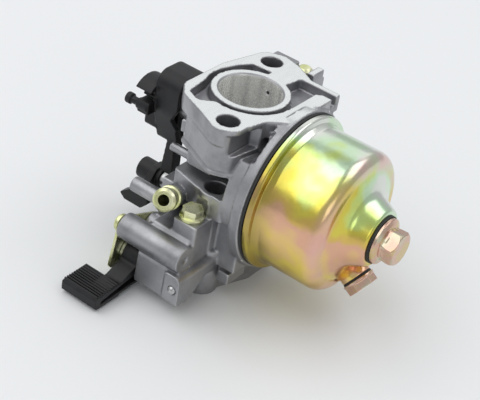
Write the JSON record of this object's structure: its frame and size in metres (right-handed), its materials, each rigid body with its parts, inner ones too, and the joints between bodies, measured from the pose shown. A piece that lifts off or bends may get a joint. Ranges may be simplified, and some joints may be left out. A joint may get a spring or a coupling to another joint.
{
  "type": "carburetor",
  "caption": "Float-bowl carburetor for a small engine: die-cast body with throttle, choke and fuel tap levers, a plated steel bowl, and a stud flange at each end of its throat.",
  "frame": {"origin": "centre of the throttle bore at the engine-side flange face", "axes": "+Z leaves the engine-side flange along the throat; +X points at the bottom of the float bowl; -Y is the front, with the fuel tap lever"},
  "size_m": [0.1002, 0.087, 0.0627],
  "materials": {
    "cast_metal": "satin, as cast with machined faces",
    "yellow_zinc": "glossy iridescent yellow passivated zinc",
    "pink_zinc": "glossy passivated zinc",
    "pale_zinc": "satin passivated zinc",
    "steel": "satin",
    "brass": "turned",
    "black_plastic": "moulded",
    "rubber": "matt",
    "float_plastic": "moulded"
  },
  "bodies": {
    "carburetor_body": {"body_casting": "cast_metal", "float_bowl": "yellow_zinc", "bowl_gasket": "rubber", "bowl_bolt_washer": "rubber", "bowl_bolt": "pink_zinc", "drain_washer": "rubber", "drain_bolt": "pink_zinc", "main_nozzle": "brass", "main_jet": "brass", "pilot_jet": "brass", "float_pin": "steel", "needle_seat": "brass", "throttle_seal": "rubber", "idle_screw_spring": "steel", "pilot_screw_spring": "steel", "fuel_nipple": "pale_zinc", "inlet_plug": "pale_zinc", "ball_plug": "steel", "passage_screw": "pale_zinc", "fuel_valve_packing": "rubber", "fuel_valve_spring": "steel", "fuel_valve_cover": "pale_zinc", "cover_screws": "pale_zinc"},
    "throttle": {"throttle_shaft": "steel", "throttle_plate": "steel", "throttle_plate_screw": "steel", "throttle_lever": "black_plastic", "throttle_lever_screw": "steel"},
    "choke": {"choke_shaft": "steel", "choke_plate": "steel", "choke_plate_screw": "steel", "choke_lever": "black_plastic"},
    "fuel_tap": {"fuel_valve_lever": "black_plastic"},
    "float_body": {"float": "float_plastic"},
    "needle": {"needle_valve": "steel"},
    "idle_adjuster": {"idle_stop_screw": "pale_zinc"},
    "pilot_adjuster": {"pilot_screw": "brass"}
  },
  "joints": [
    {"name": "throttle_turn", "type": "hinge", "parent": "carburetor_body", "child": "throttle", "pos_m": [0, 0, -0.015], "axis": [1, 0, 0], "range_deg": [0, 75]},
    {"name": "choke_turn", "type": "hinge", "parent": "carburetor_body", "child": "choke", "pos_m": [0, 0, -0.0476], "axis": [1, 0, 0], "range_deg": [0, 85]},
    {"name": "fuel_tap_turn", "type": "hinge", "parent": "carburetor_body", "child": "fuel_tap", "pos_m": [-0.01, -0.032, -0.0535], "axis": [1, 0, 0], "range_deg": [-55, 20]},
    {"name": "float_hinge", "type": "hinge", "parent": "carburetor_body", "child": "float_body", "pos_m": [0.027, 0.0156, -0.0264], "axis": [0, 0, 1], "range_deg": [0, 4]},
    {"name": "needle_slide", "type": "slide", "parent": "carburetor_body", "child": "needle", "axis": [1, 0, 0], "range_m": [0, 0.0006]},
    {"name": "idle_screw_turn", "type": "hinge", "parent": "carburetor_body", "child": "idle_adjuster", "pos_m": [-0.0176, 0.0128, -0.036], "axis": [0, 0, 1], "range_deg": [-180, 180]},
    {"name": "pilot_screw_turn", "type": "hinge", "parent": "carburetor_body", "child": "pilot_adjuster", "pos_m": [-0.025, 0.0145, -0.0435], "axis": [1, 0, 0], "range_deg": [-180, 180]}
  ],
  "couplings": [
    {"joint": "needle_slide", "follows": "float_hinge", "m_per_rad": 0.0062}
  ]
}
